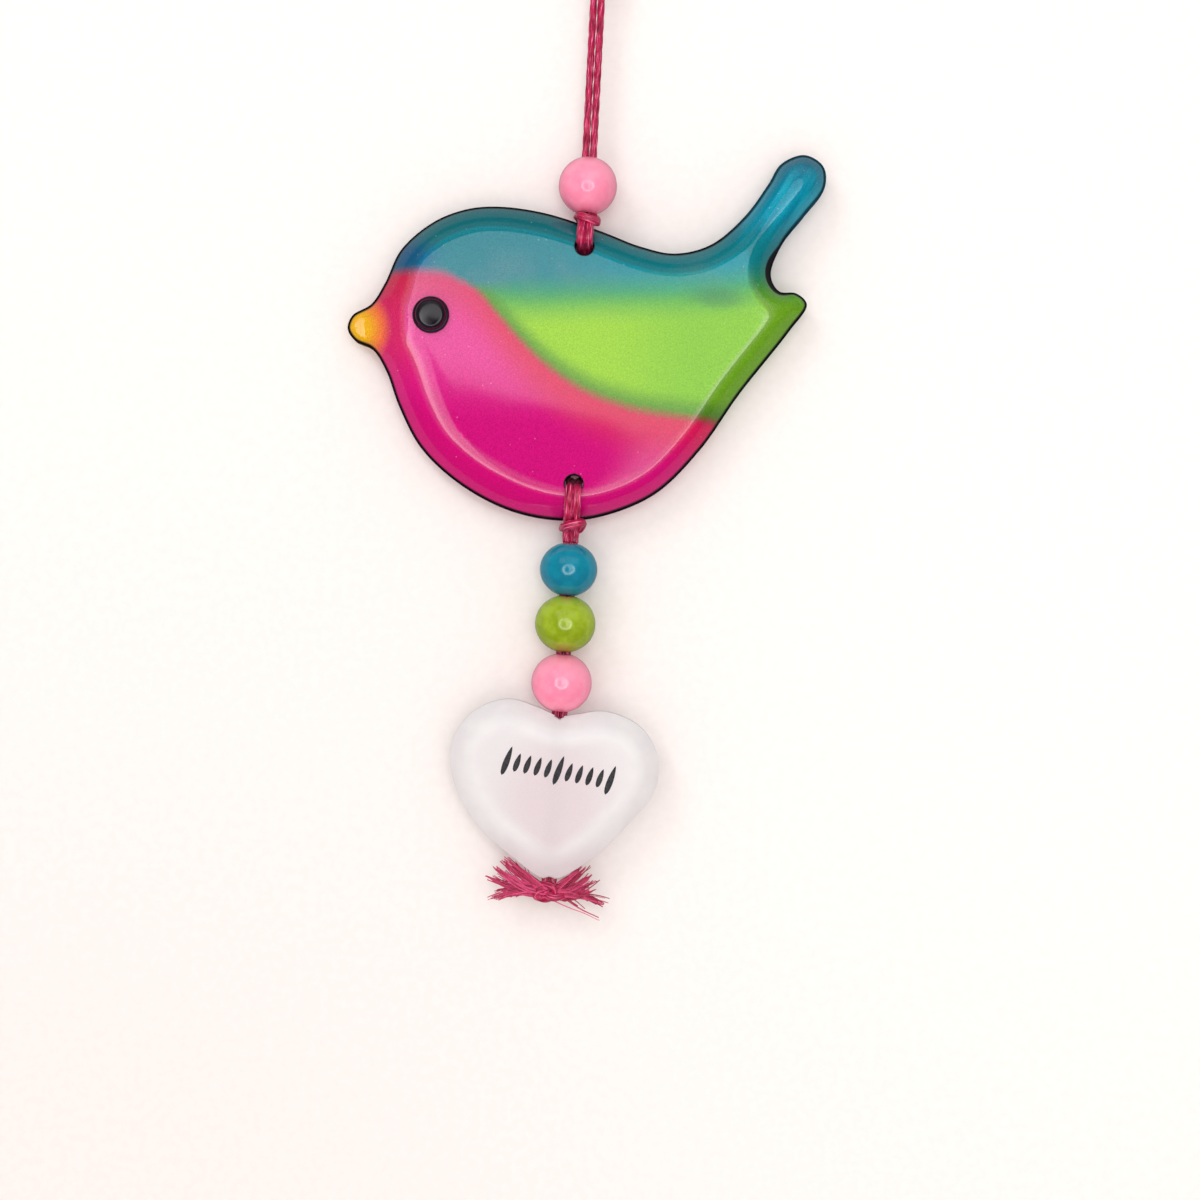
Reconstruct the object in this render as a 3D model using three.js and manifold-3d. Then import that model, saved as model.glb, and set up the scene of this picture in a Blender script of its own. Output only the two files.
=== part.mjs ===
// Bird suncatcher of cast glass.
// A glass bird hangs on a ring of satin cord with one bead above it. A second cord below it
// carries three beads and a frosted glass heart, and ends in a knot with frayed ends.
// Millimetres, +Z up, front towards -Y. The origin is the inside of the hanging loop, at its top.

import * as THREE from "three";
import { mergeVertices } from "three/addons/utils/BufferGeometryUtils.js";
import Module from "manifold-3d";

const wasm = await Module();
wasm.setup();

// Heights above the bird's lower hole, to the middle of each piece
const LOOP_TOP = 102.5;
const LOOP_KNOT = 86.5;
const TOP_BEAD = 50.85;
const TEAL_BEAD = -14.4;
const LIME_BEAD = -23.65;
const PINK_BEAD = -33.7;
const HEART_MIDDLE = -53;
const END_KNOT = -69.3;

// Bird: half its thickness, the straight wall of its rim, its shoulder and its holes.
// The shoulder is widest on the breast and narrow along the tail.
const BIRD_HALF = 3.5;
const BIRD_RIM = 2.8;
const BIRD_SHOULDER = { back: 3.6, breast: 4.8, tail: 1.6 };
const BIRD_BACK_ROUND = 0.8;
const HOLE_DIAMETER = 3.2;
const UPPER_HOLE = { x: -0.3, z: 40.1 };
const LOWER_HOLE = { x: 0, z: 0 };

// The bird's upper hole is on the hanging line, and the lower cord leans a little
const BIRD_SHIFT = -UPPER_HOLE.x;
const DROP_LEAN_DEGREES = 0.6;

// Heart: the same kind of shoulder on both faces, and a bore from notch to tip
const HEART_HALF = 3.6;
const HEART_RIM_HALF = 1.2;
const HEART_SHOULDER = 4.4;
const BORE_DIAMETER = 2.9;

// A shoulder rises as 1 - (1 - t) ^ power: steep at the rim, with a clear line at the face
const SHOULDER_POWER = 1.5;
const SHOULDER_STEPS = [0.1, 0.3, 0.55, 0.8, 1];

// Beads: diameter and height of each
const TOP_BEAD_SIZE = { diameter: 9.9, height: 9.9 };
const TEAL_BEAD_SIZE = { diameter: 9.8, height: 9.2 };
const LIME_BEAD_SIZE = { diameter: 10.3, height: 9.8 };
const PINK_BEAD_SIZE = { diameter: 10.3, height: 10.1 };

// Eye: a round flange with a dome on it that is nearly flat on top
const EYE = { x: -25.5, z: 27.15, flange: 6.2, flangeHeight: 0.7, dome: 5.2, height: 1.9 };

// Cord: its thickness, half the distance between two strands, the loop and the knots
const CORD = 1.2;
const STRAND_OFFSET = 0.65;
const CORD_SIDES = 8;
const LOOP_RADIUS = 3.6;
const LOOP_KNOT_SIZE = { width: 4.2, depth: 3.4, height: 3.8 };
const END_KNOT_SIZE = { width: 6.6, depth: 3.6, height: 3.4 };

// Frayed ends: two fans of tapered tufts, one to each side of the end knot
const TUFTS_PER_SIDE = 6;
const TUFT_LOWEST_DEGREES = -8;
const TUFT_HIGHEST_DEGREES = 36;
const TUFT_LENGTHS = [7.2, 8.6, 7.8];
const TUFT_SIDEWAYS_DEGREES = [0, 14, -14];
const TUFT_ROOT = 1.8;
const TUFT_TIP = 0.5;

// How far each hole's middle is from the nearest rim
const UPPER_HOLE_TO_RIM = 4.2;
const LOWER_HOLE_TO_RIM = 6.2;

// Outline of the bird from its front, round clockwise from the tip of the beak
const BIRD_OUTLINE = [
  // Beak and forehead
  [-39.9, 24.6], [-39.2, 26.9], [-36.1, 29.0], [-34.0, 32.6], [-31.5, 38.5],
  // Crown, back and the dip before the tail
  [-26.4, 43.4], [-21.0, 45.9], [-15.6, 46.7], [-7.3, 46.0], [2.7, 43.3], [9.1, 41.2], [15.1, 40.3],
  // Tail: up its left edge, round its end and down its right edge
  [21.1, 42.1], [26.6, 47.2], [30.3, 52.8], [32.4, 56.5], [36.3, 58.2], [39.6, 56.4], [40.0, 52.8],
  [36.8, 47.9], [33.3, 42.9],
  // Notch below the tail and the tip of the wing
  [31.6, 37.4], [33.2, 34.8], [36.1, 34.6], [38.0, 32.8], [35.3, 28.2],
  // Rump, belly and breast
  [27.4, 17.1], [21.1, 7.1], [13.8, -0.8], [4.7, -5.1], [-2.4, -6.1], [-11.0, -4.8], [-19.7, -0.7],
  [-26.4, 5.0], [-30.4, 11.7], [-33.0, 17.8],
  // Underside of the beak
  [-35.5, 21.3], [-38.5, 22.6],
];

// Outline of the heart from its front, round anticlockwise from its notch
const HEART_OUTLINE = [
  [-0.1, -39.3], [-3.6, -38.1], [-8.9, -37.0], [-14.4, -39.3], [-17.8, -44.3], [-17.4, -50.6],
  [-13.5, -57.7], [-7.0, -63.2],
  [0, -67.0],
  [6.8, -63.2], [13.0, -56.5], [16.9, -50.8], [17.0, -44.9], [13.8, -40.3], [7.8, -38.1], [3.0, -38.8],
];

// Fineness of the outlines and of the turned and drilled shapes
const OUTLINE_STEPS = 4;
const ROUND_SIDES = 20;

const glass = (color, roughness) => new THREE.MeshStandardMaterial({ color, roughness, metalness: 0 });
const materials = {
  bird: glass(0xd8408f, 0.08),
  eye: glass(0x16151a, 0.12),
  pinkBead: glass(0xf79ab6, 0.2),
  tealBead: glass(0x05849c, 0.15),
  limeBead: glass(0x9bb83c, 0.18),
  heart: glass(0xe9e3e4, 0.5),
  cord: new THREE.MeshStandardMaterial({ color: 0xbf1f5c, roughness: 0.45, metalness: 0 }),
};

function toSolid(geometry) {
  const bare = geometry.clone();
  bare.deleteAttribute("normal");
  bare.deleteAttribute("uv");
  const merged = mergeVertices(bare, 1e-4);
  return new wasm.Manifold(new wasm.Mesh({
    numProp: 3,
    vertProperties: new Float32Array(merged.attributes.position.array),
    triVerts: new Uint32Array(merged.index.array),
  }));
}

function toGeometry(solid) {
  const { vertProperties, triVerts } = solid.getMesh();
  const geometry = new THREE.BufferGeometry();
  geometry.setAttribute("position", new THREE.BufferAttribute(vertProperties, 3));
  geometry.setIndex(new THREE.BufferAttribute(triVerts, 1));
  geometry.computeVertexNormals();
  return geometry;
}

function fuse(geometries) {
  return geometries.map(toSolid).reduce((whole, solid) => whole.add(solid));
}

// A smooth closed outline through its landmarks, anticlockwise from the front
function smoothOutline(landmarks) {
  const corners = landmarks.map(([x, z]) => new THREE.Vector3(x, z, 0));
  const curve = new THREE.CatmullRomCurve3(corners, true, "centripetal");
  const count = landmarks.length * OUTLINE_STEPS;
  const points = curve.getPoints(count).slice(0, count).map(({ x, y }) => new THREE.Vector2(x, y));
  return THREE.ShapeUtils.isClockWise(points) ? points.reverse() : points;
}

function inwardNormals(outline) {
  return outline.map((_, i) => {
    const before = outline.at(i - 1);
    const after = outline[(i + 1) % outline.length];
    const along = after.clone().sub(before).normalize();
    return new THREE.Vector2(-along.y, along.x);
  });
}

// How far the shoulder runs in from each point of an outline: its full width,
// or less where the piece is too narrow for that
function shoulderWidths(outline, normals, fullWidths) {
  const NARROW_SHARE = 0.88;
  const SMOOTHING_PASSES = 3;
  let widths = outline.map((point, i) => {
    let radius = Infinity;
    for (const other of outline) {
      const across = other.clone().sub(point);
      const inward = across.dot(normals[i]);
      if (inward > 1e-6) radius = Math.min(radius, across.lengthSq() / (2 * inward));
    }
    return Math.min(fullWidths[i], NARROW_SHARE * radius);
  });
  for (let pass = 0; pass < SMOOTHING_PASSES; pass += 1) {
    widths = widths.map((width, i) => {
      const next = widths[(i + 1) % widths.length];
      return Math.min(width, (widths.at(i - 1) + 2 * width + next) / 4);
    });
  }
  return widths;
}

const shoulderRise = (t) => 1 - (1 - t) ** SHOULDER_POWER;

// A closed body between rings of points, given from the back ring to the front ring
function ringedBody(rings) {
  const count = rings[0].length;
  const index = [];
  for (let ring = 0; ring + 1 < rings.length; ring += 1) {
    for (let i = 0; i < count; i += 1) {
      const next = (i + 1) % count;
      const [a, b] = [ring * count + i, ring * count + next];
      const [c, d] = [b + count, a + count];
      index.push(a, b, c, a, c, d);
    }
  }
  const flat = (ring) => ring.map(({ x, z }) => new THREE.Vector2(x, z));
  const last = (rings.length - 1) * count;
  for (const [a, b, c] of THREE.ShapeUtils.triangulateShape(flat(rings[0]), [])) index.push(a, c, b);
  for (const [a, b, c] of THREE.ShapeUtils.triangulateShape(flat(rings.at(-1)), [])) {
    index.push(last + a, last + b, last + c);
  }
  const geometry = new THREE.BufferGeometry();
  geometry.setAttribute("position", new THREE.Float32BufferAttribute(
    rings.flat().flatMap(({ x, y, z }) => [x, y, z]), 3));
  geometry.setIndex(index);
  return geometry;
}

// Rings of one shoulder, from the rim at rimY to the face at faceY, as wide as widthAt gives
function shoulderRings(outline, widthAt, rimY, faceY) {
  const normals = inwardNormals(outline);
  const fullWidths = outline.map(widthAt);
  const widths = shoulderWidths(outline, normals, fullWidths);
  return [0, ...SHOULDER_STEPS].map((step) => outline.map((point, i) => {
    const inset = step * widths[i];
    const at = point.clone().addScaledVector(normals[i], inset);
    const y = rimY + (faceY - rimY) * shoulderRise(inset / fullWidths[i]);
    return new THREE.Vector3(at.x, y, at.y);
  }));
}

// Rings of a flat back with a rounded edge, from the flat to the rim
function backRings(outline, round, backY) {
  const normals = inwardNormals(outline);
  const widths = shoulderWidths(outline, normals, outline.map(() => round));
  return [0, 0.5, 1].map((share) => outline.map((point, i) => {
    const angle = share * Math.PI / 2;
    const at = point.clone().addScaledVector(normals[i], widths[i] * (1 - Math.sin(angle)));
    return new THREE.Vector3(at.x, backY - round * (1 - Math.cos(angle)), at.y);
  }));
}

// The width of the bird's shoulder next to a point of its outline
function birdShoulder({ x, y: z }) {
  const { lerp, smoothstep } = THREE.MathUtils;
  const { back, breast, tail } = BIRD_SHOULDER;
  const inBreast = smoothstep(-x, -6, 14) * smoothstep(-z, -38, -26);
  const inTail = x > 15 ? smoothstep(z, 40, 51) : 0;
  return lerp(lerp(back, breast, inBreast), tail, inTail);
}

function birdGeometry() {
  const outline = smoothOutline(BIRD_OUTLINE);
  const back = backRings(outline, BIRD_BACK_ROUND, BIRD_HALF);
  const front = shoulderRings(outline, birdShoulder, BIRD_HALF - BIRD_RIM, -BIRD_HALF);
  const drill = new THREE.CylinderGeometry(HOLE_DIAMETER / 2, HOLE_DIAMETER / 2, 4 * BIRD_HALF, ROUND_SIDES);
  const holes = [UPPER_HOLE, LOWER_HOLE].map(({ x, z }) => drill.clone().translate(x, 0, z));
  return toGeometry(holes.reduce(
    (body, hole) => body.subtract(toSolid(hole)), toSolid(ringedBody([...back, ...front]))));
}

function heartGeometry() {
  const outline = smoothOutline(HEART_OUTLINE);
  const widthAt = () => HEART_SHOULDER;
  const back = shoulderRings(outline, widthAt, HEART_RIM_HALF, HEART_HALF).reverse();
  const front = shoulderRings(outline, widthAt, -HEART_RIM_HALF, -HEART_HALF);
  const bore = new THREE.CylinderGeometry(BORE_DIAMETER / 2, BORE_DIAMETER / 2, -HEART_MIDDLE, ROUND_SIDES);
  bore.rotateX(Math.PI / 2).translate(0, 0, HEART_MIDDLE);
  return toGeometry(toSolid(ringedBody([...back, ...front])).subtract(toSolid(bore)));
}

// A bored bead: its outside is an ellipse cut off at the bore
function beadGeometry({ diameter, height }) {
  const radius = diameter / 2;
  const boreRadius = BORE_DIAMETER / 2;
  const cut = Math.acos(boreRadius / radius);
  const ARC_STEPS = 10;
  const profile = [];
  for (let step = 0; step <= ARC_STEPS; step += 1) {
    const angle = -cut + (2 * cut * step) / ARC_STEPS;
    profile.push(new THREE.Vector2(radius * Math.cos(angle), (height / 2) * Math.sin(angle)));
  }
  profile.push(profile[0].clone());
  return new THREE.LatheGeometry(profile, ROUND_SIDES).rotateX(Math.PI / 2);
}

function eyeGeometry() {
  const DOME_STEPS = 5;
  const flange = EYE.flange / 2;
  const profile = [
    new THREE.Vector2(0, 0),
    new THREE.Vector2(flange, 0),
    new THREE.Vector2(flange, EYE.flangeHeight * 0.6),
    new THREE.Vector2(flange - EYE.flangeHeight * 0.4, EYE.flangeHeight),
  ];
  for (let step = 0; step <= DOME_STEPS; step += 1) {
    const share = step === DOME_STEPS ? 0 : Math.cos((step / DOME_STEPS) * Math.PI / 2);
    const rise = 0.87 * Math.sqrt(1 - share ** 9) + 0.13 * (1 - share ** 2);
    profile.push(new THREE.Vector2(
      share * EYE.dome / 2, EYE.flangeHeight + (EYE.height - EYE.flangeHeight) * rise));
  }
  return new THREE.LatheGeometry(profile, ROUND_SIDES).rotateX(Math.PI);
}

// A strand of cord along a smooth route
function strand(route, steps) {
  const section = new THREE.Shape();
  section.absarc(0, 0, CORD / 2, 0, 2 * Math.PI);
  const points = route.map(([x, y, z]) => new THREE.Vector3(x, y, z));
  return new THREE.ExtrudeGeometry(section, {
    steps,
    curveSegments: CORD_SIDES / 2,
    bevelEnabled: false,
    extrudePath: new THREE.CatmullRomCurve3(points, false, "centripetal"),
  });
}

// Both halves of a route that is the same left and right, given from its middle to its right end
function bothHalves(half) {
  const left = half.slice(1).map(([x, y, z]) => [-x, y, z]).reverse();
  return [...left, ...half];
}

// Two straight strands side by side between two heights
function strandPair(low, high) {
  return [-STRAND_OFFSET, STRAND_OFFSET].map((x) => new THREE.CylinderGeometry(
    CORD / 2, CORD / 2, high - low, CORD_SIDES).rotateX(Math.PI / 2).translate(x, 0, (low + high) / 2));
}

function ellipsoid({ width, depth, height }, z) {
  return new THREE.SphereGeometry(0.5, 12, 8)
    .rotateX(Math.PI / 2).scale(width, depth, height).translate(0, 0, z);
}

// A lark's head hitch round the rim near a hole: a bar in front of the standing strands, over the
// rim, down the back, out through the hole and up under the bar to the standing strands.
// Heights are measured from the hole, and side is 1 for a rim above it or -1 for one below it.
function hitch(rim, side, standing) {
  const right = STRAND_OFFSET;
  const bar = rim + 0.8;
  const front = -BIRD_HALF - CORD / 2;
  const back = BIRD_HALF + 0.65 * CORD;
  const leaving = Math.max(1.3, rim - 3.6);
  const taut = (share, depth) => [right, front * depth, THREE.MathUtils.lerp(leaving, rim + 3, share)];
  const half = [
    [0, -2.6, bar], [1.5 * right, -2.4, bar], [2.15 * right, -1.6, bar + 0.1],
    [2.2 * right, -0.4, rim + 1.15], [1.7 * right, 1.6, rim + 1.15],
    [right, back - 0.6, rim + 0.7], [right, back + 0.05, rim - 0.8], [right, back + 0.05, 1.5],
    [right, back - 0.3, 0.5], [right, back - 2.0, 0],
    [right, front + 1.9, 0], [right, front + 0.25, 0.45], [right, front - 0.05, leaving],
    taut(0.25, 0.79), taut(0.5, 0.44), taut(0.75, 0.12), taut(1, 0), [right, 0, standing],
  ];
  const HITCH_STEPS = 44;
  return strand(bothHalves(half.map(([x, y, z]) => [x, y, side * z])), HITCH_STEPS);
}

function hangingCordGeometry() {
  const standing = TOP_BEAD - UPPER_HOLE.z - 3;
  const LOOP_STEPS = 26;
  const top = LOOP_TOP + CORD / 2;
  const middle = top - LOOP_RADIUS;
  const loop = strand(bothHalves([
    [0, 0, top],
    [LOOP_RADIUS * Math.SQRT1_2, 0, middle + LOOP_RADIUS * Math.SQRT1_2],
    [LOOP_RADIUS, 0, middle],
    [0.85 * LOOP_RADIUS, 0, middle - 4.5],
    [0.4 * LOOP_RADIUS, 0, LOOP_KNOT + 3],
    [STRAND_OFFSET, 0, LOOP_KNOT],
  ]), LOOP_STEPS);
  return toGeometry(fuse([
    hitch(UPPER_HOLE_TO_RIM, 1, standing).translate(0, 0, UPPER_HOLE.z),
    ...strandPair(UPPER_HOLE.z + standing - 0.5, LOOP_KNOT),
    ellipsoid(LOOP_KNOT_SIZE, LOOP_KNOT),
    loop,
  ]));
}

// One tapered tuft out of the end knot
function tuft(direction, length) {
  const root = END_KNOT_SIZE.width / 4;
  const turn = new THREE.Quaternion().setFromUnitVectors(new THREE.Vector3(0, 1, 0), direction);
  return new THREE.CylinderGeometry(TUFT_TIP / 2, TUFT_ROOT / 2, length, 5)
    .translate(0, length / 2 + root, 0).applyQuaternion(turn).translate(0, 0, END_KNOT);
}

function frayedEnds() {
  const tufts = [];
  for (const side of [-1, 1]) {
    for (let i = 0; i < TUFTS_PER_SIDE; i += 1) {
      const share = i / (TUFTS_PER_SIDE - 1);
      const rise = THREE.MathUtils.degToRad(
        THREE.MathUtils.lerp(TUFT_LOWEST_DEGREES, TUFT_HIGHEST_DEGREES, share));
      const turn = THREE.MathUtils.degToRad(TUFT_SIDEWAYS_DEGREES[i % TUFT_SIDEWAYS_DEGREES.length]);
      const direction = new THREE.Vector3(
        side * Math.cos(rise) * Math.cos(turn), Math.sin(turn), Math.sin(rise) * Math.cos(turn));
      tufts.push(tuft(direction, TUFT_LENGTHS[i % TUFT_LENGTHS.length]));
    }
  }
  return tufts;
}

function dropCordGeometry() {
  const standing = LOWER_HOLE_TO_RIM + 3.6;
  return toGeometry(fuse([
    hitch(LOWER_HOLE_TO_RIM, -1, standing),
    ...strandPair(END_KNOT, 0.5 - standing),
    ellipsoid(END_KNOT_SIZE, END_KNOT),
    ...frayedEnds(),
  ]));
}

function piece(name, geometry, material, x = 0, y = 0, z = 0) {
  const mesh = new THREE.Mesh(geometry, material);
  mesh.name = name;
  mesh.position.set(x, y, z);
  return mesh;
}

const suncatcher = new THREE.Group();
suncatcher.position.z = -LOOP_TOP;
suncatcher.add(piece("hanging_cord", hangingCordGeometry(), materials.cord));
suncatcher.add(piece("top_bead", beadGeometry(TOP_BEAD_SIZE), materials.pinkBead, 0, 0, TOP_BEAD));

const birdGroup = new THREE.Group();
birdGroup.position.x = BIRD_SHIFT;
birdGroup.add(piece("bird", birdGeometry(), materials.bird));
birdGroup.add(piece("eye", eyeGeometry(), materials.eye, EYE.x, -BIRD_HALF, EYE.z));
suncatcher.add(birdGroup);

const drop = new THREE.Group();
drop.rotation.y = THREE.MathUtils.degToRad(DROP_LEAN_DEGREES);
drop.add(piece("drop_cord", dropCordGeometry(), materials.cord));
drop.add(piece("teal_bead", beadGeometry(TEAL_BEAD_SIZE), materials.tealBead, 0, 0, TEAL_BEAD));
drop.add(piece("lime_bead", beadGeometry(LIME_BEAD_SIZE), materials.limeBead, 0, 0, LIME_BEAD));
drop.add(piece("pink_bead", beadGeometry(PINK_BEAD_SIZE), materials.pinkBead, 0, 0, PINK_BEAD));
drop.add(piece("heart", heartGeometry(), materials.heart));
birdGroup.add(drop);

export default suncatcher;
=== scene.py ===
"""Looks of a bird suncatcher of cast glass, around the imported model, in metres.

The glass bird hangs on a ring of satin cord with one bead above it. A second cord below it
carries three beads and a frosted glass heart, and ends in a knot with frayed ends.
"""
import math
import random

import bpy
import numpy as np
from mathutils import Matrix, Vector, noise
from mathutils.geometry import delaunay_2d_cdt


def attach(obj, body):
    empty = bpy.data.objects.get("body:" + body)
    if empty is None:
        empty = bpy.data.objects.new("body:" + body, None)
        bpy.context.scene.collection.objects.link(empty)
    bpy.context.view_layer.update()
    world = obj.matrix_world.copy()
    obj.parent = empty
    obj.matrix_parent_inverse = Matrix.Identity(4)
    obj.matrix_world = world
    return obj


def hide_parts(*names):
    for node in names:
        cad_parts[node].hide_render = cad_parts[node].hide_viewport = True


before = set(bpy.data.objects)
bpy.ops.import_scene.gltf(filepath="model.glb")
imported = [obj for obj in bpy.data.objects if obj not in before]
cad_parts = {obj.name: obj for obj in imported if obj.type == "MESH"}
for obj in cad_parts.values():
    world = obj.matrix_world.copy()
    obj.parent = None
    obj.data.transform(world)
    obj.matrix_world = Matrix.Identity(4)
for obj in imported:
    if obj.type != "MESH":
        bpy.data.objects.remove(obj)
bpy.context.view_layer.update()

MM = 0.001

# Heights above the bird's lower hole, to the middle of each piece
LOOP_TOP = 102.5 * MM
LOOP_KNOT = 86.5 * MM
TOP_BEAD = 50.85 * MM
TEAL_BEAD = -14.4 * MM
LIME_BEAD = -23.65 * MM
PINK_BEAD = -33.7 * MM
HEART_MIDDLE = -53 * MM
END_KNOT = -69.3 * MM

# Bird: half its thickness, the straight wall of its rim, its shoulder and its holes.
# The shoulder is widest on the breast and narrow along the tail, with a middling width to set it out.
BIRD_HALF = 3.5 * MM
BIRD_RIM = 2.8 * MM
BIRD_SHOULDER = 4.0 * MM
BACK_SHOULDER = 3.1 * MM
BREAST_SHOULDER = 4.4 * MM
TAIL_SHOULDER = 1.5 * MM
BIRD_BACK_ROUND = 0.8 * MM
HOLE_RADIUS = 1.6 * MM
UPPER_HOLE = (-0.3 * MM, 40.1 * MM)
LOWER_HOLE = (0.0, 0.0)
UPPER_HOLE_TO_RIM = 4.2 * MM
LOWER_HOLE_TO_RIM = 6.2 * MM

# Heart: the same kind of shoulder on both faces, and a bore from notch to tip
HEART_HALF = 3.6 * MM
HEART_RIM_HALF = 1.2 * MM
HEART_SHOULDER = 4.4 * MM
BORE_RADIUS = 1.45 * MM

# Diameter and height of each bead
TOP_BEAD_SIZE = (9.9 * MM, 9.9 * MM)
TEAL_BEAD_SIZE = (9.8 * MM, 9.2 * MM)
LIME_BEAD_SIZE = (10.3 * MM, 9.8 * MM)
PINK_BEAD_SIZE = (10.3 * MM, 10.1 * MM)

# Eye: where it sits on the bird, its flange and its dome
EYE_PLACE = (-25.5 * MM, -BIRD_HALF, 27.15 * MM)
EYE_FLANGE_RADIUS = 3.1 * MM
EYE_FLANGE_HEIGHT = 0.7 * MM
EYE_DOME_RADIUS = 2.7 * MM
EYE_HEIGHT = 1.9 * MM
EYE_SINK = 0.3 * MM

# Cord: its radius, half the distance between two strands, the loop and the knots
CORD_RADIUS = 0.6 * MM
HITCH_RADIUS = 0.74 * MM
DROP_RADIUS = 0.648 * MM
LOOP_KNOT_RADIUS = 0.7 * MM
END_KNOT_RADIUS = 0.66 * MM
STRAND_OFFSET = 0.65 * MM
LOOP_RADIUS = 3.6 * MM
END_KNOT_HALF = (2.1 * MM, 0.9 * MM, 1.05 * MM)
LOOP_KNOT_HALF = (1.5 * MM, 1.0 * MM, 1.25 * MM)

# The frames of the hanging line, the bird, and the lower cord with all that it carries
DROP_LEAN = math.radians(0.6)
HANGING_FRAME = Matrix.Translation((0, 0, -LOOP_TOP))
BIRD_FRAME = Matrix.Translation((-UPPER_HOLE[0], 0, -LOOP_TOP))
DROP_FRAME = BIRD_FRAME @ Matrix.Rotation(DROP_LEAN, 4, "Y")

# Outline of the bird in millimetres, clockwise from the tip of the beak
BIRD_OUTLINE = [
    # Beak and forehead
    (-39.9, 24.6), (-39.2, 26.9), (-36.1, 29.0), (-34.0, 32.6), (-31.5, 38.5),
    # Crown, back and the dip before the tail
    (-26.4, 43.4), (-21.0, 45.9), (-15.6, 46.7), (-7.3, 46.0), (2.7, 43.3), (9.1, 41.2), (15.1, 40.3),
    # Tail: up its left edge, round its end and down its right edge
    (21.1, 42.1), (26.6, 47.2), (30.3, 52.8), (32.4, 56.5), (36.3, 58.2), (39.6, 56.4), (40.0, 52.8),
    (36.8, 47.9), (33.3, 42.9),
    # Notch below the tail and the tip of the wing
    (31.6, 37.4), (33.2, 34.8), (36.1, 34.6), (38.0, 32.8), (35.3, 28.2),
    # Rump, belly and breast
    (27.4, 17.1), (21.1, 7.1), (13.8, -0.8), (4.7, -5.1), (-2.4, -6.1), (-11.0, -4.8), (-19.7, -0.7),
    (-26.4, 5.0), (-30.4, 11.7), (-33.0, 17.8),
    # Underside of the beak
    (-35.5, 21.3), (-38.5, 22.6),
]

# The same outline with a plain forehead and breast in place of the beak: the flat face keeps to it
BODY_OUTLINE = [(-34.5, 25.2)] + BIRD_OUTLINE[3:-2]

# Outline of the heart in millimetres, anticlockwise from its notch
HEART_OUTLINE = [
    (-0.1, -39.3), (-3.6, -38.1), (-8.9, -37.0), (-14.4, -39.3), (-17.8, -44.3), (-17.4, -50.6),
    (-13.5, -57.7), (-7.0, -63.2), (0, -67.0), (6.8, -63.2), (13.0, -56.5), (16.9, -50.8),
    (17.0, -44.9), (13.8, -40.3), (7.8, -38.1), (3.0, -38.8),
]

# Where the colours of the bird meet, in millimetres: the lower edge of the teal from the
# forehead to the tail, and the upper edge of the pink along the wing
TEAL_EDGE = [
    (-42, 34.2), (-33.1, 34.3), (-26.3, 34.5), (-20.8, 33.2), (-16.3, 32.3), (-10.8, 32.4), (2.7, 33.4),
    (19.7, 34.9), (28.1, 36.4), (31.4, 37.6), (42, 38.2),
]
PINK_EDGE = [
    (-42, 40.0), (-25, 37.6), (-21.3, 34.8), (-17.7, 31.6), (-14.0, 27.7), (-10.0, 23.6), (-4.7, 19.2),
    (1.6, 15.6), (6.0, 14.1), (10.6, 13.0), (16.0, 12.4), (22.2, 11.9), (42, 10.4),
]

# The camera: what the middle of the picture shows, its distance, its roll and its field
VIEW_MIDDLE = (5.74 * MM, -121.8 * MM)
VIEW_DISTANCE = 350 * MM
VIEW_ROLL = math.radians(3.0)
VIEW_WIDTH = 204 * MM
SENSOR_WIDTH = 36.0


def srgb(red, green, blue):
    """A colour given as 0 to 255 display values."""
    parts = [value / 255 for value in (red, green, blue)]
    return (*[p / 12.92 if p <= 0.04045 else ((p + 0.055) / 1.055) ** 2.4 for p in parts], 1.0)


def new_object(name, data, matrix):
    made = bpy.data.objects.new(name, data)
    made.matrix_world = matrix
    bpy.context.scene.collection.objects.link(made)
    return made


# Camera

def place_camera():
    data = bpy.data.cameras.new("camera")
    data.sensor_width = SENSOR_WIDTH
    data.lens = SENSOR_WIDTH * VIEW_DISTANCE / VIEW_WIDTH
    cosine, sine = math.cos(VIEW_ROLL), math.sin(VIEW_ROLL)
    x, z = VIEW_MIDDLE
    bpy.context.scene.camera = new_object("camera", data, Matrix((
        (cosine, -sine, 0, x),
        (0, 0, -1, -VIEW_DISTANCE),
        (sine, cosine, 0, z),
        (0, 0, 0, 1),
    )))


place_camera()


# Curves

def smooth_curve(points, steps, closed=False):
    """Points of a centripetal Catmull-Rom curve through the given points."""
    points = np.array(points, float)
    if closed:
        padded = np.vstack([points[-1], points, points[:2]])
    else:
        padded = np.vstack([2 * points[0] - points[1], points, 2 * points[-1] - points[-2]])
    share = np.linspace(0, 1, steps, endpoint=False)[:, None]
    parts = []
    for p0, p1, p2, p3 in zip(padded, padded[1:], padded[2:], padded[3:]):
        d0, d1, d2 = (max(np.linalg.norm(b - a), 1e-9) ** 0.5 for a, b in ((p0, p1), (p1, p2), (p2, p3)))
        t1 = d1 * ((p1 - p0) / d0 - (p2 - p0) / (d0 + d1) + (p2 - p1) / d1)
        t2 = d1 * ((p2 - p1) / d1 - (p3 - p1) / (d1 + d2) + (p3 - p2) / d2)
        cubic = 2 * p1 - 2 * p2 + t1 + t2
        square = -3 * p1 + 3 * p2 - 2 * t1 - t2
        parts.append(p1 + share * t1 + share ** 2 * square + share ** 3 * cubic)
    curve = np.vstack(parts)
    return curve if closed else np.vstack([curve, points[-1]])


def even_spacing(points, spacing):
    """The same line with its points about that far apart."""
    lengths = np.concatenate([[0], np.cumsum(np.linalg.norm(np.diff(points, axis=0), axis=1))])
    at = np.linspace(0, lengths[-1], max(2, round(lengths[-1] / spacing) + 1))
    return np.column_stack([np.interp(at, lengths, points[:, axis]) for axis in range(3)])


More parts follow.
